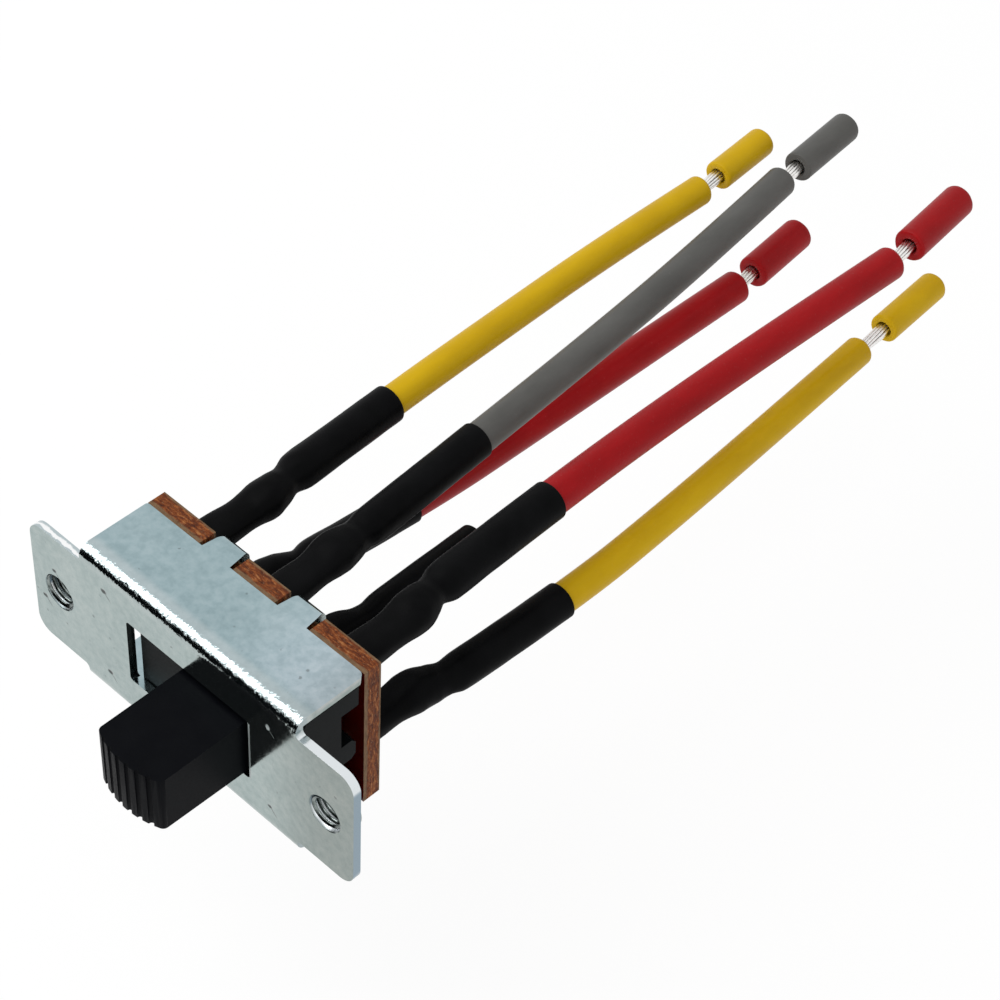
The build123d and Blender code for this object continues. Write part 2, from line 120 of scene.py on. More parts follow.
class Net:
    """Short names for adding and linking shader nodes."""

    def __init__(self, tree):
        self.tree = tree

    def add(self, kind, **values):
        node = self.tree.nodes.new("ShaderNode" + kind)
        for key, value in values.items():
            setattr(node, key, value)
        return node

    def put(self, socket, value):
        if isinstance(value, bpy.types.NodeSocket):
            self.tree.links.new(value, socket)
        elif isinstance(value, tuple) and len(value) == 3 and socket.type == "RGBA":
            socket.default_value = (*value, 1.0)
        else:
            socket.default_value = value

    def coords(self, scale=(1, 1, 1)):
        """Object coordinates; every node's object sits at the frame's origin."""
        tex = self.add("TexCoord")
        m = self.add("Mapping")
        self.put(m.inputs["Vector"], tex.outputs["Object"])
        m.inputs["Scale"].default_value = scale
        return m.outputs["Vector"]

    def noise(self, vector, scale, detail=4.0, roughness=0.55):
        n = self.add("TexNoise")
        self.put(n.inputs["Vector"], vector)
        n.inputs["Scale"].default_value = scale
        n.inputs["Detail"].default_value = detail
        n.inputs["Roughness"].default_value = roughness
        return n.outputs["Fac"]

    def cells(self, vector, scale):
        """Distance to the nearest of many scattered points, in cells."""
        n = self.add("TexVoronoi")
        self.put(n.inputs["Vector"], vector)
        n.inputs["Scale"].default_value = scale
        return n.outputs["Distance"]

    def ramp(self, fac, stops):
        r = self.add("ValToRGB")
        self.put(r.inputs["Fac"], fac)
        elements = r.color_ramp.elements
        while len(elements) < len(stops):
            elements.new(0.5)
        for element, (position, colour) in zip(elements, stops):
            element.position = position
            if isinstance(colour, (int, float)):
                colour = (colour, colour, colour)
            element.color = (*colour, 1.0)
        return r.outputs["Color"]

    def math(self, operation, a, b=None):
        m = self.add("Math", operation=operation)
        for socket, value in zip(m.inputs, (a, b)):
            if value is not None:
                self.put(socket, value)
        return m.outputs[0]

    def product(self, first, *others):
        for other in others:
            first = self.math("MULTIPLY", first, other)
        return first

    def absolute(self, value):
        return self.math("ABSOLUTE", value)

    def wander(self, pattern, amount):
        """A pattern's swing to both sides of nothing."""
        return self.product(self.math("SUBTRACT", pattern, 0.5), amount)

    def spread(self, value, start, end, low_value=0.0, high_value=1.0):
        """Smooth step from low_value at start to high_value at end."""
        m = self.add("MapRange", interpolation_type="SMOOTHSTEP")
        for socket, item in zip(m.inputs, (value, start, end, low_value, high_value)):
            self.put(socket, item)
        return m.outputs[0]

    def band(self, value, start, full, fading, end):
        """One between full and fading, and nothing outside start and end."""
        return self.product(self.spread(value, start, full), self.spread(value, end, fading))

    def mix(self, fac, a, b, blend="MIX"):
        m = self.add("MixRGB", blend_type=blend)
        for name, value in (("Fac", fac), ("Color1", a), ("Color2", b)):
            self.put(m.inputs[name], value)
        return m.outputs["Color"]

    def bump(self, height, distance, strength=1.0, normal=None):
        b = self.add("Bump")
        self.put(b.inputs["Height"], height)
        b.inputs["Distance"].default_value = distance
        b.inputs["Strength"].default_value = strength
        if normal is not None:
            self.put(b.inputs["Normal"], normal)
        return b.outputs["Normal"]

    def split(self, vector):
        """The X, Y and Z of a vector."""
        s = self.add("SeparateXYZ")
        self.put(s.inputs[0], vector)
        return s.outputs[0], s.outputs[1], s.outputs[2]

    def near(self, where, place):
        """Distance in metres from a point on the object."""
        m = self.add("VectorMath", operation="DISTANCE")
        self.put(m.inputs[0], where)
        m.inputs[1].default_value = place
        return m.outputs["Value"]

    def surface(self, out, colour, roughness, metallic=0.0, normal=None, specular=0.5):
        shader = self.add("BsdfPrincipled")
        self.put(shader.inputs["Base Color"], colour)
        self.put(shader.inputs["Roughness"], roughness)
        self.put(shader.inputs["Metallic"], metallic)
        shader.inputs["Specular IOR Level"].default_value = specular
        if normal is not None:
            self.put(shader.inputs["Normal"], normal)
        self.tree.links.new(shader.outputs[0], out.inputs["Surface"])

    def mix_surfaces(self, out, share, first, second):
        """Ends the tree with a mix of two shaders, the share being the second one's."""
        mixer = self.add("MixShader")
        self.put(mixer.inputs[0], share)
        self.tree.links.new(first.outputs[0], mixer.inputs[1])
        self.tree.links.new(second.outputs[0], mixer.inputs[2])
        self.tree.links.new(mixer.outputs[0], out.inputs["Surface"])


# ------------------------------------------------------------------ materials
def press_marks(net, x, z, grain):
    """Small dents beside the slot and the left hole, each with a short scrape from it."""
    marks = None
    drawn = net.coords((1.0, 0.6, 1.45))
    ragged = net.wander(grain, 0.22 * MM)
    for share, height, size in (
        (-0.515, 4.45, 0.34), (-0.515, -4.4, 0.32), (0.50, 4.4, 0.26), (0.50, -4.4, 0.22),
        (-0.852, 2.1, 0.26), (-0.934, -1.65, 0.30),
    ):
        mark_x, mark_z = share * plate_half, height * MM
        away = net.math("ADD", net.near(drawn, (mark_x, 0, mark_z * 1.45)), ragged)
        spot = net.spread(away, size * 0.5 * MM, size * 1.25 * MM, 1.0, 0.0)
        # The scrape runs down and to the right
        along = net.math("SUBTRACT", x, mark_x)
        slant = net.math("ADD", net.math("SUBTRACT", z, mark_z), net.product(along, 0.9))
        thin = net.spread(net.absolute(slant), 0.11 * MM, 0.03 * MM)
        scrape = net.product(thin, net.band(along, 0.0, 0.1 * MM, 0.55 * MM, 0.85 * MM), 0.55)
        spot = net.math("MAXIMUM", spot, scrape)
        marks = spot if marks is None else net.math("MAXIMUM", marks, spot)
    return marks


def sheared_edges(net, x, y, normal_y, normal_z, mottle):
    """Where the sheared edges of the ears are, and their tone, with painted highlights and painted shade.
    """
    edge = net.product(
        net.spread(net.absolute(normal_y), 0.75, 0.45),
        net.spread(y, 1.15 * MM, 1.0 * MM),
        net.spread(net.absolute(x), 11.3 * MM, 11.7 * MM),
    )
    # Turned up, an edge is painted pale, a painted highlight: a bright band along its burnished middle on
    # the left ear, and one pale tone on the right ear. Where it isn't turned up, it is painted darker, a
    # painted shade.
    depth = net.math("ADD", y, net.wander(mottle, 0.6 * MM))
    burnished = net.band(depth, 0.16 * MM, 0.24 * MM, 0.40 * MM, 0.52 * MM)
    upward_highlight = net.mix(burnished, (0.46, 0.53, 0.55), (0.93, 0.94, 0.94))
    upward_highlight = net.mix(net.spread(x, 10.0 * MM, 12.0 * MM), upward_highlight, (0.72, 0.76, 0.78))
    return edge, net.mix(net.spread(normal_z, 0.02, 0.30), (0.24, 0.315, 0.37), upward_highlight)


def painted_glint_places(net, x, y, z):
    """Painted glints: the burr at the right-hand end of the slot and the fleck above and right of the
    lever, made matt grey so that they show light.
    """
    burr = net.product(
        net.spread(net.absolute(net.math("SUBTRACT", x, slot_end)), 0.15 * MM, 0.07 * MM),
        net.spread(net.absolute(z), slot_half_height, slot_half_height - 0.25 * MM),
        net.spread(y, 0.5 * MM, 0.2 * MM),
        0.8,
    )
    fleck_place = (0.50 * plate_half, 0, 0.75 * 4.4 * MM)
    fleck = net.spread(net.near(net.coords((1.0, 0.6, 0.75)), fleck_place), 0.26 * MM, 0.14 * MM)
    return net.math("MAXIMUM", burr, fleck)


def zinc_plate():
    """Bright zinc on cold-rolled steel: satin, cloudy, pitted and a little scratched, with painted
    reflections, highlights and shade.
    """
    mat, net, out = new_material("zinc_steel")
    where = net.coords()
    x, y, z = net.split(where)
    normal_y, normal_z = net.split(net.add("NewGeometry").outputs["Normal"])[1:]
    cloud = net.noise(where, 210.0, 4.0, 0.6)
    mottle = net.noise(where, 1500.0, 4.0, 0.6)
    grain = net.noise(where, 5200.0, 3.0, 0.6)
    tone = net.ramp(cloud, [
        (0.32, (0.290, 0.368, 0.360)), (0.50, (0.330, 0.412, 0.402)), (0.70, (0.385, 0.458, 0.445)),
    ])
    mottled = net.ramp(mottle, [
        (0.36, (0.28, 0.325, 0.32)), (0.50, (0.40, 0.45, 0.44)), (0.66, (0.53, 0.56, 0.54)),
    ])
    tone = net.mix(0.30, tone, mottled)
    # Painted reflection: the faces turned up are painted a shade bluer, as if they reflect a bluish sky
    tone = net.mix(net.spread(normal_z, 0.3, 0.95, 0.0, 0.9), tone, (0.90, 1.0, 1.10), "MULTIPLY")
    # Pits: scattered small dark specks, only in some of the cells
    chosen = net.spread(net.noise(where, 900.0, 2.0), 0.55, 0.60)
    pit = net.product(net.spread(net.cells(where, 1150.0), 0.10, 0.22, 1.0, 0.0), chosen)
    tone = net.mix(net.product(pit, 0.55), tone, (0.10, 0.12, 0.12))
    marks = press_marks(net, x, z, grain)
    tone = net.mix(net.product(marks, 0.95), tone, (0.02, 0.025, 0.025))
    # Painted shade: the right-hand ear is painted darker than the rest
    right_ear_painted_shade = net.spread(x, 6.0 * MM, 15.0 * MM, 0.0, 0.75)
    tone = net.mix(right_ear_painted_shade, tone, (0.66, 0.62, 0.59), "MULTIPLY")
    # Painted highlight: the top flange is painted lighter towards its right-hand end
    flange_painted_highlight = net.product(
        net.spread(z, plate_top - 0.5 * MM, plate_top - 0.1 * MM),
        net.spread(y, 1.2 * MM, 2.4 * MM),
        net.spread(x, 1.0 * MM, 10.0 * MM),
    )
    tone = net.mix(flange_painted_highlight, tone, (1.36, 1.25, 1.28), "MULTIPLY")
    # The bends are painted lighter, a painted highlight, and are crazed where the zinc was stretched
    near_bend = net.spread(net.absolute(z), plate_top - 1.5 * MM, plate_top - 0.4 * MM)
    bend_painted_highlight = net.product(near_bend, net.spread(y, 1.9 * MM, 1.2 * MM), 0.34)
    tone = net.mix(bend_painted_highlight, tone, (0.62, 0.65, 0.65))
    bend = net.product(near_bend, net.spread(y, 2.4 * MM, 0.9 * MM))
    crazed = net.noise(net.coords((1.0, 0.65, 0.65)), 3300.0, 2.0, 0.5)
    # Cut steel in the tapped holes is dull
    flattened = net.coords((1.0, 0.0, 1.0))
    from_holes = [net.near(flattened, (side * hole_reach, 0, 0)) for side in (-1, 1)]
    in_hole = net.spread(net.math("MINIMUM", *from_holes), 1.66 * MM, 1.56 * MM)
    bore = net.product(in_hole, net.spread(net.absolute(normal_y), 0.75, 0.60))
    tone = net.mix(net.product(bore, 0.75), tone, (0.13, 0.155, 0.150))
    rough = net.mix(bore, net.ramp(mottle, [(0.3, 0.10), (0.7, 0.17)]), (0.42, 0.42, 0.42))
    edge, sheared = sheared_edges(net, x, y, normal_y, normal_z, mottle)
    # Sheared edges: painted highlights where turned up, painted shade elsewhere
    tone = net.mix(edge, tone, sheared)
    height = net.math("ADD", net.product(mottle, 0.55), net.product(grain, 0.22))
    sunk = net.product(net.math("ADD", pit, net.product(marks, 3.0)), 1.2)
    normal = net.bump(net.math("SUBTRACT", height, sunk), 0.012 * MM, 0.55)
    normal = net.bump(net.product(crazed, bend), 0.080 * MM, 0.9, normal)
    # Painted glints: the burr and the fleck are matt grey instead of metal, so they show pale
    matt = painted_glint_places(net, x, y, z)
    tone = net.mix(matt, tone, (0.36, 0.40, 0.40))
    net.surface(out, tone, rough, net.math("SUBTRACT", 1.0, matt), normal)
    return mat


def thread_steel():
    """Cut steel of the threads, darker than the plate and oily."""
    mat, net, out = new_material("thread_steel")
    where = net.coords()
    cloud = net.noise(where, 1800.0, 4.0)
    tone = net.ramp(cloud, [(0.35, (0.07, 0.085, 0.08)), (0.65, (0.30, 0.34, 0.33))])
    rough = net.ramp(cloud, [(0.3, 0.16), (0.7, 0.30)])
    normal = net.bump(cloud, 0.03 * MM, 0.5)
    net.surface(out, tone, rough, 1.0, normal)
    return mat


def black_moulding():
    """Moulded plastic: near-black and faintly pebbled, a little greyer inside the channel."""
    mat, net, out = new_material("black_moulding")
    where = net.coords()
    y = net.split(where)[1]
    cloud = net.noise(where, 420.0, 3.0)
    fine = net.noise(where, 6200.0, 3.0, 0.6)
    lever = net.ramp(cloud, [(0.3, (0.0014, 0.0017, 0.0028)), (0.7, (0.0028, 0.0032, 0.0044))])
    inside = net.ramp(cloud, [(0.3, (0.0030, 0.0044, 0.0048)), (0.7, (0.0052, 0.0070, 0.0075))])
    tone = net.mix(net.spread(y, 0.1 * MM, 0.9 * MM), lever, inside)
    rough = net.ramp(fine, [(0.3, 0.34), (0.7, 0.48)])
    normal = net.bump(fine, 0.008 * MM, 0.3)
    net.surface(out, tone, rough, 0.0, normal, 0.035)
    return mat


def laminate():
    """Paper laminate: orange-brown fibrous cut edges between tan skins, glossy faces, the front one
    painted dark red as painted shade.
    """
    mat, net, out = new_material("laminate")
    where = net.coords()
    y = net.split(where)[1]
    # Fibres run in the plane of the board, so they are drawn out along its edges
    fibres = net.noise(net.coords((0.55, 1.9, 0.55)), 2300.0, 6.0, 0.7)
    specks = net.noise(net.coords((0.8, 1.6, 0.8)), 5200.0, 4.0, 0.7)
    blotch = net.noise(where, 700.0, 4.0, 0.6)
    core = net.ramp(fibres, [
        (0.36, (0.020, 0.004, 0.0015)), (0.46, (0.100, 0.020, 0.004)),
        (0.55, (0.225, 0.056, 0.010)), (0.64, (0.42, 0.170, 0.055)),
    ])
    blotches = net.ramp(blotch, [(0.35, (0.060, 0.012, 0.003)), (0.65, (0.24, 0.072, 0.018))])
    core = net.mix(0.22, core, blotches)
    core = net.mix(net.spread(specks, 0.58, 0.68, 0.0, 0.6), core, (0.36, 0.21, 0.11))
    core = net.mix(net.spread(specks, 0.40, 0.33, 0.0, 0.7), core, (0.03, 0.007, 0.003))
    skin = net.ramp(fibres, [(0.3, (0.10, 0.050, 0.022)), (0.7, (0.23, 0.140, 0.075))])
    depth = net.math("ADD", y, net.wander(blotch, 0.4 * MM))
    front = net.spread(depth, board_low[1] + 0.42 * MM, board_low[1] + 0.26 * MM)
    back = net.spread(depth, board_back - 0.20 * MM, board_back - 0.10 * MM)
    tone = net.mix(net.math("MAXIMUM", front, back), core, skin)
    # Varnished faces: brown at the back, and at the front a darker deep red, a painted shade of the face
    # inside the body
    normal_y = net.split(net.add("NewGeometry").outputs["Normal"])[1]
    front_painted_shade = net.ramp(blotch, [(0.3, (0.040, 0.0012, 0.0006)), (0.7, (0.072, 0.0030, 0.0012))])
    brown = net.ramp(blotch, [(0.3, (0.075, 0.024, 0.010)), (0.7, (0.125, 0.048, 0.020))])
    tone = net.mix(net.spread(normal_y, -0.6, -0.9), tone, front_painted_shade)
    tone = net.mix(net.spread(normal_y, 0.6, 0.9), tone, brown)
    face = net.spread(net.absolute(normal_y), 0.6, 0.9)
    rough = net.spread(face, 0.0, 1.0, 0.62, 0.28)
    height = net.math("ADD", fibres, net.product(specks, 0.5))
    height = net.product(height, net.spread(face, 0.0, 1.0, 1.0, 0.12))
    normal = net.bump(height, 0.10 * MM, 0.8)
    net.surface(out, tone, rough, 0.0, normal, 0.15)
    return mat


def sleeve_black():
    """Shrunk polyolefin: matt black with a soft sheen and fine puckers."""
    mat, net, out = new_material("black_sleeve")
    where = net.coords()
    cloud = net.noise(where, 300.0, 3.0)
    pucker = net.noise(net.coords((1.0, 0.6, 1.0)), 1300.0, 4.0, 0.6)
    fine = net.noise(where, 6500.0, 3.0, 0.6)
    tone = net.ramp(cloud, [(0.3, (0.0010, 0.0011, 0.0013)), (0.7, (0.0038, 0.0040, 0.0044))])
    rough = net.ramp(cloud, [(0.3, 0.38), (0.7, 0.55)])
    height = net.math("ADD", net.product(pucker, 2.2), net.product(fine, 0.3))
    normal = net.bump(height, 0.03 * MM, 0.45)
    net.surface(out, tone, rough, 0.0, normal, 0.036)
    return mat


def pvc(name, dark, light, rough_low, rough_high):
    """Wire insulation: even colour, faintly cloudy, with extrusion lines and a dusty bloom."""
    mat, net, out = new_material(name)
    where = net.coords()
    cloud = net.noise(net.coords((1, 0.35, 1)), 330.0, 4.0, 0.6)
    lines = net.noise(net.coords((1, 0.05, 1)), 3600.0, 3.0, 0.5)
    dust = net.noise(where, 4200.0, 3.0, 0.6)
    tone = net.ramp(cloud, [(0.32, dark), (0.68, light)])
    tone = net.mix(net.spread(dust, 0.60, 0.75, 0.0, 0.025), tone, (0.55, 0.52, 0.50))
    rough = net.ramp(cloud, [(0.3, rough_low), (0.7, rough_high)])
    height = net.math("ADD", lines, net.product(dust, 0.5))
    normal = net.bump(height, 0.016 * MM, 0.3)
    net.surface(out, tone, rough, 0.0, normal, 0.13)
    return mat


def metal(name, dark, light, rough_low, rough_high, scale):
    """Bare metal, faintly cloudy in tone and gloss."""
    mat, net, out = new_material(name)
    where = net.coords()
    cloud = net.noise(where, scale, 4.0)
    tone = net.ramp(cloud, [(0.3, dark), (0.7, light)])
    rough = net.ramp(cloud, [(0.3, rough_low), (0.7, rough_high)])
    normal = net.bump(cloud, 0.015 * MM, 0.3)
    net.surface(out, tone, rough, 1.0, normal)
    return mat


MATERIALS = {
    "zinc_steel": zinc_plate(),
    "laminate": laminate(),
    "black_moulding": black_moulding(),
    "contact_alloy": metal("contact_alloy", (0.50, 0.43, 0.30), (0.66, 0.59, 0.45), 0.22, 0.38, 900.0),
    "spring_steel": metal("spring_steel", (0.36, 0.37, 0.39), (0.48, 0.49, 0.51), 0.22, 0.38, 900.0),
    "solder": metal("solder", (0.50, 0.51, 0.52), (0.70, 0.71, 0.72), 0.18, 0.36, 1500.0),
    "black_sleeve": sleeve_black(),
    "yellow_pvc": pvc("yellow_pvc", (0.52, 0.315, 0.0015), (0.61, 0.385, 0.0030), 0.34, 0.48),
    "gray_pvc": pvc("gray_pvc", (0.084, 0.083, 0.078), (0.112, 0.111, 0.105), 0.36, 0.50),
    "red_pvc": pvc("red_pvc", (0.250, 0.0018, 0.0035), (0.345, 0.0045, 0.0070), 0.34, 0.48),
    "tinned_strands": metal("tinned_strands", (0.78, 0.77, 0.75), (0.92, 0.91, 0.89), 0.20, 0.34, 2500.0),
}
for part in frame["record"]["subparts"]:
    node = frame["nodes"][part["node"]]
    node.data.materials.clear()
    node.data.materials.append(MATERIALS[part["material_slot"]])


# ------------------------------------------------------------------ mesh helpers
def make_piece(name, points, faces, slot, smooth=True):
    """A visible piece on the switch's body, with the material of its slot."""
    mesh = bpy.data.meshes.new(name)
    mesh.from_pydata(points, [], faces)
    mesh.validate()
    if smooth:
        mesh.shade_smooth()
    mesh.materials.append(MATERIALS[slot])
    piece = bpy.data.objects.new(name, mesh)
    bpy.context.collection.objects.link(piece)
    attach(piece, "switch_body")
    return piece


def skin(sections, closed=False):
    """Points and faces of a skin over equal rings; its ends are capped unless it is closed."""
    count = len(sections[0])
    points = [tuple(p) for ring in sections for p in ring]
    faces = []
    last = len(sections) if closed else len(sections) - 1
    for i in range(last):
        a, b = i * count, (i + 1) % len(sections) * count
        for j in range(count):
            k = (j + 1) % count
            faces.append((a + j, a + k, b + k, b + j))
    if not closed:
        for ring, start, order in ((sections[0], 0, 1), (sections[-1], (len(sections) - 1) * count, -1)):
            middle = sum((Vector(p) for p in ring), Vector()) / count
            points.append(tuple(middle))
            hub = len(points) - 1
            for j in range(count):
                pair = (start + (j + 1) % count, start + j)
                faces.append((hub, *pair[::order]))
    return points, faces


class Line:
    """Points along a smooth line, read by distance, with straight runs beyond its ends."""

    def __init__(self, points):
        self.points = [Vector(p) for p in points]
        self.marks = [0.0]
        for a, b in zip(self.points, self.points[1:]):
            self.marks.append(self.marks[-1] + (b - a).length)
        self.length = self.marks[-1]

    def heading(self, s):
        """Direction at a distance along the line, turning evenly from one piece to the next."""
        s = min(max(s, 0.0), self.length)
        for i in range(len(self.points) - 1):
            if s <= self.marks[i + 1]:
                break
        here = (self.points[i + 1] - self.points[i]).normalized()
        span = self.marks[i + 1] - self.marks[i]
        t = (s - self.marks[i]) / span if span else 0.0
        other = i + 1 if t > 0.5 else i - 1
        if 0 <= other < len(self.points) - 1:
            beside = (self.points[other + 1] - self.points[other]).normalized()
            here = here.lerp(beside, abs(t - 0.5)).normalized()
        return here

    def at(self, s):
        """Place at a distance along the line."""
        if s <= 0:
            return self.points[0] + self.heading(0.0) * s
        if s >= self.length:
            return self.points[-1] + self.heading(self.length) * (s - self.length)
        for i in range(len(self.points) - 1):
            if s <= self.marks[i + 1]:
                t = (s - self.marks[i]) / (self.marks[i + 1] - self.marks[i])
                return self.points[i].lerp(self.points[i + 1], t)


def route_line(route):
    """The smooth line that a lead's route points control."""
    data = bpy.data.curves.new("route", "CURVE")
    data.dimensions = "3D"
    spline = data.splines.new("NURBS")
    spline.points.add(len(route) - 1)
    for point, place in zip(spline.points, route):
        point.co = (*place, 1.0)
    spline.order_u = 3
    spline.use_endpoint_u = True
    spline.resolution_u = 24
    holder = bpy.data.objects.new("route", data)
    mesh = bpy.data.meshes.new_from_object(holder)
    line = Line([v.co for v in mesh.vertices])
    bpy.data.objects.remove(holder)
    bpy.data.curves.remove(data)
    bpy.data.meshes.remove(mesh)
    return line


def across(heading):
    """Two directions across a heading; the second is as near to up as it can be."""
    side = heading.cross(Vector((0, 0, 1)))
    if side.length < 1e-6:
        side = Vector((1, 0, 0))
    side.normalize()
    return side, side.cross(heading).normalized()


def ring(centre, heading, half_width, half_height, squareness=2.0, count=40):
    """A loop across a heading: an ellipse, or squarer where its squareness is over two."""
    side, rise = across(heading)
    points = []
    for i in range(count):
        angle = 2 * math.pi * i / count
        c, s = math.cos(angle), math.sin(angle)
        u = math.copysign(abs(c) ** (2 / squareness), c) * half_width
        v = math.copysign(abs(s) ** (2 / squareness), s) * half_height
        points.append(centre + side * u + rise * v)
    return points


def smooth_stations(stations, steps):
    """Cubic curve through rows of numbers, spaced by the first of each row."""
    rows = []
    for i in range(len(stations) - 1):
        a, b = stations[i], stations[i + 1]
        before = stations[max(i - 1, 0)]
        after = stations[min(i + 2, len(stations) - 1)]
        span = b[0] - a[0]
        for k in range(steps):
            t = k / steps
            row = []
            for p0, p1, p2, p3 in zip(before, a, b, after):
                m1 = (p2 - p0) / max(b[0] - before[0], 1e-9) * span
                m2 = (p3 - p1) / max(after[0] - a[0], 1e-9) * span
                row.append(
                    (2 * t**3 - 3 * t**2 + 1) * p1 + (t**3 - 2 * t**2 + t) * m1
                    + (3 * t**2 - 2 * t**3) * p2 + (t**3 - t**2) * m2
                )
            rows.append(row)
    rows.append(list(stations[-1]))
    return rows


# ------------------------------------------------------------------ leads
# Each lead, in mm: its route is points in X and Y from the middle of its terminal on the back
# of the board, as is the end of its loose slug. The gap is of bare strands before the slug, and
# the mouth is how far behind the board its sleeve ends.
Lead = namedtuple("Lead", "colour diameter route slug_end gap mouth")
START = 10.15           # mm behind the board, where the routes start
LEADS = {
    ("upper", "left"): Lead(
        "yellow", 2.6, [(-0.54, START), (-1.18, 21.85), (-1.60, 34.05), (-1.95, 46.15), (-1.82, 58.15)],
        (-2.54, 66.93), 2.2, 20.5),
    ("upper", "middle"): Lead(
        "gray", 2.7, [(-0.57, START), (-1.50, 23.15), (-2.58, 36.85), (-3.93, 50.55), (-5.80, 64.15)],
        (-6.75, 73.94), 2.1, 22.6),
    ("upper", "right"): Lead(
        "red", 2.9, [(-0.70, START), (-1.18, 22.85), (-1.28, 35.85), (-1.02, 49.35), (-0.58, 62.65)],
        (-1.73, 73.24), 2.5, 22.0),
    ("lower", "left"): Lead(
        "red", 2.9, [(1.07, START), (2.18, 21.15), (2.40, 33.85), (2.54, 46.45), (2.70, 58.95)],
        (1.79, 68.18), 2.1, 19.9),
    ("lower", "right"): Lead(
        "yellow", 2.6, [(1.10, START), (1.72, 22.05), (1.15, 34.85), (0.28, 47.65), (-0.65, 60.35)],
        (-1.46, 71.48), 3.3, 21.1),
}
EMPTY_AXIS = [(0.75, START), (0.62, 20.8)]
CORE = 0.60 * MM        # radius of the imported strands
STRAND = 0.115 * MM     # radius of one strand
LINES = {}


def place_on_board(row, column, pairs):
    """Points in X and Y, in mm from the middle of a terminal on the back of the board."""
    x, z = terminal_place(row, column)
    return [Vector((x + dx * MM, board_back + dy * MM, z)) for dx, dy in pairs]


def rounded_end(radius, hole, rounding, depth):
    """Distance past the end and radius of each ring, from the side over the rim into the bore."""
    rows = []
    for i in range(6):
        angle = math.pi / 2 * i / 5
        rows.append((rounding * (math.sin(angle) - 1), radius - rounding * (1 - math.cos(angle))))
    rows.append((0.0, (radius - rounding + hole) / 2))
    rows.append((-0.02 * MM, hole + 0.03 * MM))
    rows.append((-0.08 * MM, hole))
    rows.append((-depth, hole))
    return rows


def uneven(point, scale, size, seed):
    """A little wander in or out, the same on every run."""
    return size * noise.noise(Vector(point) * scale + Vector((seed, 2.7 * seed, -seed)))


def make_wire(name, lead, line, seed):
    """The insulation: plain along the line, with a rounded cut end round the strands."""
    radius = lead.diameter / 2 * MM
    sections = []
    steps = 110
    plain_end = line.length - 0.45 * MM
    for i in range(steps + 1):
        s = plain_end * i / steps
        sections.append(ring(line.at(s), line.heading(s), radius, radius, count=32))
    for past, size in rounded_end(radius, CORE + 0.05 * MM, 0.40 * MM, 0.9 * MM):
        s = line.length + past
        heading = line.heading(s)
        rim = ring(line.at(s), heading, size, size, count=32)
        if past > -0.3 * MM:
            rim = [p + heading * uneven(p, 900.0, 0.05 * MM, seed) - heading * 0.025 * MM for p in rim]
        sections.append(rim)
    return make_piece(f"lead_{name}", *skin(sections), f"{lead.colour}_pvc")


def make_slug(name, lead, end, tip, seed):
    """The loose slug of insulation on the strands."""
    radius = lead.diameter / 2 * MM
    reach = (tip - end).normalized()
    start = end + reach * lead.gap * MM
    length = (tip - start).length
    hole = CORE + 0.11 * MM
    rows = [(-past, size) for past, size in rounded_end(radius, hole, 0.22 * MM, 0.5 * MM)[::-1]]
    rows += [(length * i / 12, radius) for i in range(1, 12)]
    rows += [(length + past, size) for past, size in rounded_end(radius, hole, 0.38 * MM, 0.5 * MM)]
    rings = []
    for s, size in rows:
        loop = ring(start + reach * s, reach, size, size, count=32)
        # The cut faces wander a little, and lie a little inside the slug's two ends
        if min(s, length - s) < 0.3 * MM:
            shift = 0.03 * MM if s < length / 2 else -0.03 * MM
            loop = [p + reach * (uneven(p, 1100.0, 0.06 * MM, seed + 7) + shift) for p in loop]
        rings.append(loop)
    return make_piece(f"loose_slug_{name}", *skin(rings, closed=True), f"{lead.colour}_pvc")


def pack_strands():
    """Places of nineteen strands packed in a bundle: one, then six, then twelve."""
    places = [(0.0, 0.0)]
    for i in range(6):
        places.append((0.96, math.pi / 3 * i))
    for i in range(12):
        places.append((1.92 if i % 2 == 0 else 1.70, math.pi / 6 * i))
    return [(r * STRAND * 2 * 0.98, a) for r, a in places]


def make_strands(name, lead, end, tip, seed):
    """Nineteen tinned strands, a little spread where they are bare."""
    points, faces = [], []
    bare_start = -0.7 * MM
    bare_end = (tip - end).length - 0.5 * MM
    reach = (tip - end).normalized()
    side, rise = across(reach)
    for k, (away, angle) in enumerate(pack_strands()):
        rings = []
        stop = bare_end - 0.4 * MM * abs(uneven((k, seed, 1.5), 1.7, 1.0, 3))
        for i in range(15):
            s = bare_start + (stop - bare_start) * i / 14
            bareness = math.exp(-((s - lead.gap * 0.72 * MM) / (lead.gap * 0.42 * MM)) ** 2)
            turn = angle + 0.5 * s / (4 * MM)
            spread = away * (1 + 0.16 * bareness)
            stray = 0.05 * MM * bareness
            along = s / MM * 0.25
            u = math.cos(turn) * spread + uneven((k * 0.37, along, 0), 1.0, stray, seed)
            v = math.sin(turn) * spread + uneven((along, k * 0.51, 4), 1.0, stray, seed)
            rings.append(ring(end + reach * s + side * u + rise * v, reach, STRAND, STRAND, count=8))
        more, their = skin(rings)
        first = len(points)
        points += more
        faces += [tuple(first + j for j in face) for face in their]
    return make_piece(f"bare_strands_{name}", points, faces, "tinned_strands")


for seed, ((row, column), lead) in enumerate(LEADS.items(), 1):
    name = f"{lead.colour}_{row}"
    line = route_line(place_on_board(row, column, lead.route))
    LINES[row, column] = line
    end = line.at(line.length)
    tip = place_on_board(row, column, [lead.slug_end])[0]
    wire = make_wire(name, lead, line, seed)
    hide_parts(f"wire_{name}")
    slug = make_slug(name, lead, end, tip, seed)
    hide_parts(f"slug_{name}")
    strands = make_strands(name, lead, end, tip, seed)
    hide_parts(f"strands_{name}")
    line.at((lead.mouth - START) * MM)

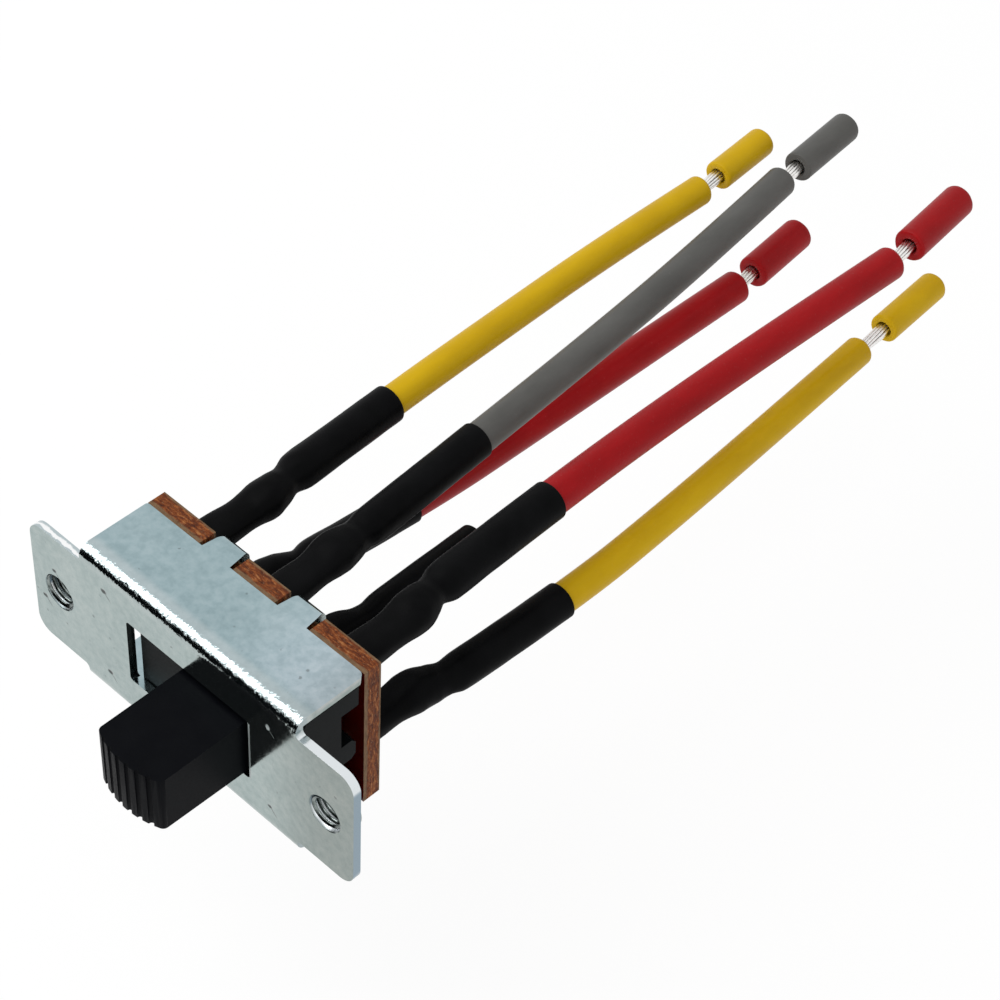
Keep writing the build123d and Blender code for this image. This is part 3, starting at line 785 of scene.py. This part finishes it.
# ------------------------------------------------------------------ sleeves
# Each sleeve as it shrank, in mm. At six distances behind the board it has a shift along X, a
# half width, a half height and a squareness. Its grip on the wire is distances along the wire,
# each with a radius.
BEHIND = (0.0, 2.2, 4.45, 6.6, 8.1, 9.1)
SQUARENESS = (3.4, 3.2, 2.6, 2.2, 2.1, 2.0)
Sleeve = namedtuple("Sleeve", "shifts half_widths half_heights grip")
SLEEVES = {
    ("upper", "left"): Sleeve(
        (0, 0.0, 0.02, -0.07, -0.22, -0.38), (1.60, 1.55, 1.47, 1.72, 1.50, 1.32),
        (0.93, 0.92, 0.98, 1.46, 1.42, 1.32),
        [(0.0, 1.56), (0.7, 1.62), (4.0, 1.60), (7.6, 1.60), (10.4, 1.60)]),
    ("upper", "middle"): Sleeve(
        (0, -0.08, -0.20, -0.38, -0.46, -0.52), (1.60, 1.58, 1.52, 1.76, 1.55, 1.36),
        (0.93, 0.93, 1.00, 1.52, 1.48, 1.36),
        [(0.0, 1.50), (0.8, 1.54), (4.5, 1.53), (8.5, 1.53), (12.5, 1.54)]),
    ("upper", "right"): Sleeve(
        (0.05, 0.02, 0.0, -0.16, -0.42, -0.62), (1.60, 1.56, 1.52, 1.76, 1.54, 1.30),
        (0.93, 0.94, 1.00, 1.54, 1.46, 1.30),
        [(0.0, 1.58), (0.7, 1.66), (4.2, 1.64), (8.2, 1.64), (11.9, 1.64)]),
    ("lower", "left"): Sleeve(
        (0, 0, 0.03, 0.2, 0.62, 0.92), (1.60, 1.55, 1.48, 1.70, 1.50, 1.34),
        (0.93, 0.93, 0.99, 1.46, 1.42, 1.34),
        [(0.0, 1.58), (0.8, 1.65), (3.5, 1.64), (6.6, 1.65), (9.8, 1.65)]),
    ("lower", "middle"): Sleeve(
        (0, 0, 0.04, 0.16, 0.50, 0.66), (1.60, 1.55, 1.46, 1.70, 1.48, 1.38),
        (0.93, 0.93, 0.97, 1.46, 1.42, 1.38),
        [(0.0, 1.54), (0.8, 1.60), (3.6, 1.60), (7.2, 1.60), (10.6, 1.60)]),
    ("lower", "right"): Sleeve(
        (0, 0.02, 0.07, 0.22, 0.62, 0.90), (1.60, 1.56, 1.54, 1.76, 1.52, 1.32),
        (0.93, 0.94, 1.02, 1.54, 1.44, 1.32),
        [(0.0, 1.48), (0.7, 1.53), (3.8, 1.53), (7.4, 1.53), (11.0, 1.53)]),
}


def sleeve_axis(x, line, sleeve):
    """Rows along a sleeve: distance behind the board, X, Y, half width, half height, squareness."""
    rows = []
    for behind, shift, width, height, squareness in zip(
        BEHIND, sleeve.shifts, sleeve.half_widths, sleeve.half_heights, SQUARENESS
    ):
        rows.append((behind, x + shift * MM, board_back + behind * MM, width, height, squareness))
    for along, size in sleeve.grip:
        place = line.at(along * MM)
        rows.append((START + along, place.x, place.y, size, size, SQUARENESS[-1]))
    return smooth_stations(rows, 9)


def sleeve_mouth(end, heading, outer, bore, depths):
    """Rings of the cut lip and of the inside of the tube, as far in as it can be seen."""
    lip = (outer - bore) / 2
    rings = []
    for turn in range(30, 181, 30):
        angle = math.radians(turn)
        size = bore + lip + lip * math.cos(angle)
        rings.append(ring(end + heading * lip * math.sin(angle) * 0.8, heading, size, size))
    for inward, size in depths:
        rings.append(ring(end - heading * inward * MM, heading, size, size))
    return rings


for seed, ((row, column), sleeve) in enumerate(SLEEVES.items(), len(LEADS) + 1):
    x, z = terminal_place(row, column)
    if (row, column) in LINES:
        line = LINES[row, column]
        bore = LEADS[row, column].diameter / 2 * MM + 0.02 * MM
        depths = [(inward, bore) for inward in (0.6, 1.6, 3.0)]
    else:
        line = Line(place_on_board(row, column, EMPTY_AXIS))
        bore = 1.44 * MM
        depths = [(inward, bore) for inward in (0.6, 2.0, 4.5, 7.5)] + [(9.6, 0.9 * MM)]
    axis = sleeve_axis(x, line, sleeve)
    sections = []
    for i, (behind, px, py, half_width, half_height, squareness) in enumerate(axis):
        a, b = axis[max(i - 1, 0)], axis[min(i + 1, len(axis) - 1)]
        heading = Vector((b[1] - a[1], b[2] - a[2], 0)).normalized()
        centre = Vector((px, py, z))
        loop = ring(centre, heading, half_width * MM, half_height * MM, squareness)
        # Puckers where it shrank most, round the solder, and next to none on the wire
        shrink = 0.09 * math.exp(-((behind - 7.6) / 2.6) ** 2) + 0.018
        wavy = []
        for p in loop:
            amount = uneven(p, 420.0, shrink * MM, seed) + uneven(p, 1100.0, shrink * 0.45 * MM, seed)
            wavy.append(p + (p - centre).normalized() * (amount - shrink * 0.35 * MM))
        sections.append(wavy)
    sections += sleeve_mouth(centre, heading, half_width * MM, bore, depths)
    points, faces = skin(sections)
    if (row, column) in LINES:
        # The tube's inside ends round its wire, so its last ring has no cap
        faces = faces[:-40]
    shrunk = make_piece(f"shrunk_sleeve_{row}_{column}", points, faces, "black_sleeve")
    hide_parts(f"sleeve_{row}_{column}")


# ------------------------------------------------------------------ bracket
def reround(point, corner, side, old, new, hollow=False):
    """Where a point on the rounding of a corner goes when its radius changes, or None."""
    inward = -1 if hollow else 1
    reach = Vector((side[0] * inward, side[1] * inward))
    centre = Vector(corner) - reach * old
    away = Vector(point) - centre
    if abs(away.length - old) > 1e-5 or away.x * reach.x < -1e-8 or away.y * reach.y < -1e-8:
        return None
    return Vector(corner) - reach * new + away * (new / old)


def sharpen_flange_corners(v, x, y, z):
    """The back corners of the flanges are sharper at the left than at the right."""
    if abs(z) > 5.9 * MM and y > 5 * MM:
        for side, radius in ((-1, 0.25 * MM), (1, 0.55 * MM)):
            moved = reround((x, y), (side * flange_end, flange_back), (side, 1), 1.0 * MM, radius)
            if moved:
                v.co.x, v.co.y = moved


def even_ear_corners(v, x, y, z):
    """The four corners of the ears have one radius."""
    if y < 0.9 * MM:
        for side_x in (-1, 1):
            for side_z in (-1, 1):
                packed = (3.0 if side_x == side_z else 0.8) * MM
                corner = (side_x * plate_high[0], side_z * ear_half_height)
                moved = reround((x, z), corner, (side_x, side_z), packed, 1.4 * MM)
                if moved:
                    v.co.x, v.co.z = moved


def draw_in_step(v, x, y, z):
    """The sweep at the lower left is drawn in to a small step, along the sheet."""
    step = 0.4 * MM
    corner = (-flange_end, -ear_half_height)
    if y < 1.05 * MM and reround((x, z), corner, (-1, -1), 1.2 * MM, step, hollow=True):
        rise = max(0.0, z + ear_half_height + step)
        v.co.x = -flange_end - step + math.sqrt(max(0.0, step**2 - rise**2))


def widen_holes(v, x, z):
    """The tapped holes are as wide as they look."""
    for hole_x in (-hole_reach, hole_reach):
        off = Vector((x - hole_x, z))
        if 1.1 * MM < off.length < 1.52 * MM:
            off *= 1 + 0.12 * MM / off.length
            v.co.x, v.co.z = hole_x + off.x, off.y


def narrow_tabs(v, x, y):
    """The fold of a tab is narrower than its root."""
    past = y - 7.0 * MM
    if past > 0:
        share = min(1.0, past / (1.85 * MM)) ** 1.3
        middle_x = math.copysign(4.0 * MM, x)
        v.co.x = middle_x + (x - middle_x) * (1 - 0.30 * share)


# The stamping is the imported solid, with its corners, holes and tabs as the photograph has them
bracket = bpy.data.objects.new("stamped_bracket", frame["nodes"]["mounting_bracket"].data.copy())
bpy.context.collection.objects.link(bracket)
body = bmesh.new()
body.from_mesh(bracket.data)
bmesh.ops.remove_doubles(body, verts=body.verts, dist=1e-6)
for v in body.verts:
    x, y, z = v.co
    sharpen_flange_corners(v, x, y, z)
    even_ear_corners(v, x, y, z)
    draw_in_step(v, x, y, z)
    widen_holes(v, x, z)
    narrow_tabs(v, x, y)
bmesh.ops.remove_doubles(body, verts=body.verts, dist=1e-6)
bmesh.ops.dissolve_degenerate(body, edges=body.edges, dist=1e-6)
body.to_mesh(bracket.data)
body.free()
bracket.data.materials.clear()
bracket.data.materials.append(MATERIALS["zinc_steel"])
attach(bracket, "switch_body")
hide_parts("mounting_bracket")

# ------------------------------------------------------------------ lever
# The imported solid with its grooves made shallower, measured from its crowned front
lever = bpy.data.objects.new("moulded_lever", frame["nodes"]["slide_lever"].data.copy())
bpy.context.collection.objects.link(lever)
lever_x = (lever_low[0] + lever_high[0]) / 2
crown_radius = 7.857 * MM
groove_share = 0.58
for v in lever.data.vertices:
    off = v.co.x - lever_x
    if v.co.y < -7.0 * MM and abs(off) < 2.68 * MM:
        crown = lever_low[1] + crown_radius - math.sqrt(crown_radius**2 - off**2)
        if v.co.y > crown:
            v.co.y = crown + (v.co.y - crown) * groove_share
lever.data.materials.clear()
lever.data.materials.append(MATERIALS["black_moulding"])
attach(lever, "slider")
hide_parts("slide_lever")

# ------------------------------------------------------------------ tapped threads
# In each ear hole a ridge winds from the entry up the bore of the ear and its collar
THREAD_STEEL = thread_steel()
THREAD_PITCH = 0.42 * MM
THREAD_TURNS = 3.3
STEPS_PER_TURN = 48
for side_name, hole_x, start in (("left", -hole_reach, 2.2), ("right", hole_reach, 0.6)):
    loops = []
    for i in range(int(THREAD_TURNS * STEPS_PER_TURN) + 1):
        angle = 2 * math.pi * i / STEPS_PER_TURN + start
        share = i / (THREAD_TURNS * STEPS_PER_TURN)
        fade = min(1.0, share / 0.06, (1 - share) / 0.10)
        y = 0.10 * MM + THREAD_PITCH * i / STEPS_PER_TURN
        wall = 1.38 * MM + max(0.0, 0.24 * MM - y) * 0.92
        crest = wall - (0.05 + 0.15 * fade) * MM
        profile = (
            (wall + 0.02 * MM, -0.17 * MM), (crest + 0.03 * MM, -0.05 * MM), (crest, 0.0),
            (crest + 0.03 * MM, 0.05 * MM), (wall + 0.02 * MM, 0.17 * MM),
        )
        loops.append([
            Vector((hole_x + math.cos(angle) * r, max(y + dy, 0.015 * MM), math.sin(angle) * r))
            for r, dy in profile
        ])
    points, faces = skin(loops)
    thread = make_piece(f"tapped_thread_{side_name}", points, faces, "zinc_steel", smooth=False)
    thread.data.materials.clear()
    thread.data.materials.append(THREAD_STEEL)


# ------------------------------------------------------------------ softened edges
def break_edges(piece, width, angle):
    """Narrow rounding along every sharp edge."""
    weld = piece.modifiers.new("weld", "WELD")
    weld.merge_threshold = 1e-6
    bevel = piece.modifiers.new("edge_break", "BEVEL")
    bevel.width = width * MM
    bevel.segments = 3
    bevel.limit_method = "ANGLE"
    bevel.angle_limit = math.radians(angle)
    normals = piece.modifiers.new("even_shading", "WEIGHTED_NORMAL")
    normals.keep_sharp = True


break_edges(lever, 0.12, 40)
break_edges(bracket, 0.12, 50)


# ------------------------------------------------------------------ stage
WHITE = (1, 1, 1)


def seen_directly(net):
    """One where the camera, a reflection or a clear thing looks at the surface."""
    path = net.add("LightPath")
    seen = net.math("MAXIMUM", path.outputs["Is Camera Ray"], path.outputs["Is Glossy Ray"])
    return net.math("MAXIMUM", seen, path.outputs["Is Transmission Ray"])


def stage_sheet(name, corners, material):
    """A flat sheet of the studio, which is no part of the object."""
    mesh = bpy.data.meshes.new(name)
    mesh.from_pydata(corners, [], [(0, 1, 2, 3)])
    mesh.materials.append(material)
    sheet = bpy.data.objects.new(name, mesh)
    bpy.context.collection.objects.link(sheet)
    return sheet


def plain(net, kind, colour, strength=None):
    """A shader with one colour, and a strength where it shines."""
    shader = net.add(kind)
    shader.inputs["Color"].default_value = (*colour, 1)
    if strength is not None:
        shader.inputs["Strength"].default_value = strength
    return shader


def floor_white():
    """White, and mostly its own plain white where it is seen, so that a soft shadow is left."""
    mat, net, out = new_material("floor_white")
    lit = plain(net, "BsdfDiffuse", WHITE)
    glow = plain(net, "Emission", WHITE, 1.0)
    net.mix_surfaces(out, net.product(seen_directly(net), 0.90), lit, glow)
    return mat


def card_black():
    mat, net, out = new_material("card_black")
    lit = plain(net, "BsdfDiffuse", (0.006, 0.007, 0.008))
    net.tree.links.new(lit.outputs[0], out.inputs["Surface"])
    return mat


def studio_world():
    """Even light of 0.62 all round, and plain white where it is seen."""
    world = bpy.data.worlds.new("studio")
    world.use_nodes = True
    world.node_tree.nodes.clear()
    net = Net(world.node_tree)
    out = net.add("OutputWorld")
    ambient = plain(net, "Background", WHITE, 0.62)
    white = plain(net, "Background", WHITE, 1.0)
    net.mix_surfaces(out, seen_directly(net), ambient, white)
    return world


def area_light(name, place, target, size, power):
    """A soft lamp; its size is its width and its length, and its length lies nearest upright."""
    data = bpy.data.lights.new(name, "AREA")
    data.shape = "ELLIPSE"
    data.size, data.size_y = size
    data.energy = power
    lamp = bpy.data.objects.new(name, data)
    direction = Vector(target) - Vector(place)
    lamp.location = place
    lamp.rotation_euler = direction.to_track_quat("-Z", "Y").to_euler()
    bpy.context.collection.objects.link(lamp)


bpy.context.scene.world = studio_world()
floor_z = low[2] - 22 * MM
floor_half = 1.6
floor_corners = ((-1, -1), (1, -1), (1, 1), (-1, 1))
stage_sheet("floor", [(floor_half * a, floor_half * b, floor_z) for a, b in floor_corners], floor_white())

# A black card stands in front of the switch, to the left, and shows in reflections alone:
# it draws the dark line along the bend of the plate
card_away = Vector((-0.48, -0.88, 0)).normalized()
card_centre = card_away * 75 * MM
card_reach = Vector((card_away.y, -card_away.x, 0)) * 160 * MM
card_top = Vector((0, 0, 36 * MM))
card_bottom = Vector((0, 0, floor_z + 1 * MM))
card = stage_sheet("card", [
    card_centre - card_reach + card_bottom, card_centre + card_reach + card_bottom,
    card_centre + card_reach + card_top, card_centre - card_reach + card_top,
], card_black())
card.visible_camera = False
card.visible_diffuse = False
card.visible_shadow = False
card.visible_transmission = False

middle = [(a + b) / 2 for a, b in zip(low, high)]
area_light("key", (-0.238, -0.165, 0.410), (0, 0.01, 0), (0.35, 0.70), 1.65)
area_light("fill", (0.35, -0.35, 0.20), middle, (0.30, 0.30), 0.30)

bpy.context.scene.view_settings.view_transform = "Standard"
